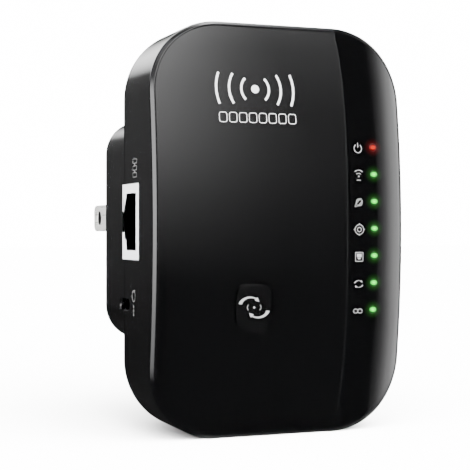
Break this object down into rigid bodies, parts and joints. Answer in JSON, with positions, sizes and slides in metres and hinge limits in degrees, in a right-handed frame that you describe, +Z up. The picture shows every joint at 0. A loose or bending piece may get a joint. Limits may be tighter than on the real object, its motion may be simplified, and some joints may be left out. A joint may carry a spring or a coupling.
{
  "type": "wireless range extender",
  "caption": "Upright plug-in wireless repeater with a domed glossy front, an indicator strip, a pairing button, a side network socket and mains blades on a rear block.",
  "frame": {"origin": "midpoint between the two mains blades, on the flat back face of the plug block, where it meets the wall outlet", "axes": "+Y points out of the back along the blades, so the front faces -Y; +Z is up along the body's height; the network socket opens towards -X"},
  "size_m": [0.0597, 0.0548, 0.09],
  "materials": {
    "gloss_black": "piano-black, polished",
    "casing_black": "black moulded plastic, semi-gloss",
    "smoked_window": "black smoked acrylic, polished",
    "blade_nickel": "nickel-plated brass, satin",
    "insulator_black": "black moulded nylon, matt",
    "screw_steel": "zinc-plated steel, satin",
    "board_green": "green solder mask on glass-fibre board",
    "jack_shield": "bright tin-plated steel sheet",
    "contact_gold": "gold-plated spring contact",
    "light_red": "clear light pipe, lit red",
    "light_green": "clear light pipe, lit green",
    "led_body": "white ceramic chip with a yellowish lens",
    "chip_black": "black moulding compound, matt",
    "resistor_body": "blue-grey lacquer",
    "ferrite": "dark sintered ferrite",
    "tape_yellow": "yellow polyester winding tape",
    "capacitor_can": "aluminium can in a dark blue sleeve",
    "wire_black": "black PVC insulation",
    "wire_blue": "blue PVC insulation",
    "wire_red": "red PVC insulation",
    "print_white": "white screen print"
  },
  "bodies": {
    "casing": {"front_shell": "casing_black", "face_plate": "gloss_black", "indicator_window": "smoked_window", "rear_housing": "casing_black", "pairing_switch_body": "chip_black", "reset_switch_body": "chip_black", "line_blade": "blade_nickel", "neutral_blade": "blade_nickel", "blade_retainer": "insulator_black", "housing_screw_1": "screw_steel", "housing_screw_2": "screw_steel", "housing_screw_3": "screw_steel", "housing_screw_4": "screw_steel", "board_screw_1": "screw_steel", "board_screw_2": "screw_steel", "main_board": "board_green", "radio_chip": "chip_black", "flash_chip": "chip_black", "network_transformer": "chip_black", "antenna_left": "screw_steel", "antenna_right": "screw_steel", "status_led_1": "led_body", "light_pipe_1": "light_red", "status_led_2": "led_body", "light_pipe_2": "light_green", "status_led_3": "led_body", "light_pipe_3": "light_green", "status_led_4": "led_body", "light_pipe_4": "light_green", "status_led_5": "led_body", "light_pipe_5": "light_green", "status_led_6": "led_body", "light_pipe_6": "light_green", "status_led_7": "led_body", "light_pipe_7": "light_green", "light_pipe_holder": "insulator_black", "jack_shield": "jack_shield", "jack_housing": "insulator_black", "jack_contact_1": "contact_gold", "jack_contact_2": "contact_gold", "jack_contact_3": "contact_gold", "jack_contact_4": "contact_gold", "jack_contact_5": "contact_gold", "jack_contact_6": "contact_gold", "jack_contact_7": "contact_gold", "jack_contact_8": "contact_gold", "power_board": "board_green", "transformer_core": "ferrite", "transformer_winding": "tape_yellow", "input_capacitor_1": "capacitor_can", "input_capacitor_2": "capacitor_can", "output_capacitor": "capacitor_can", "bridge_rectifier": "chip_black", "fusible_resistor": "resistor_body", "line_lead": "wire_black", "neutral_lead": "wire_blue", "dc_lead": "wire_red"},
    "pairing_button": {"pairing_button": "gloss_black"},
    "pairing_switch_plunger": {"pairing_switch_plunger": "insulator_black"},
    "reset_plunger": {"reset_plunger": "insulator_black"}
  },
  "joints": [
    {"name": "pairing_button_press", "type": "slide", "parent": "casing", "child": "pairing_button", "axis": [0, 1, 0], "range_m": [0, 0.0005], "stiffness_N_per_m": 1500},
    {"name": "pairing_switch_press", "type": "slide", "parent": "casing", "child": "pairing_switch_plunger", "axis": [0, 1, 0], "range_m": [0, 0.00025]},
    {"name": "reset_press", "type": "slide", "parent": "casing", "child": "reset_plunger", "axis": [1, 0, 0], "range_m": [0, 0.00025], "stiffness_N_per_m": 3000}
  ],
  "couplings": [
    {"joint": "pairing_switch_press", "follows": "pairing_button_press", "ratio": 0.5}
  ]
}
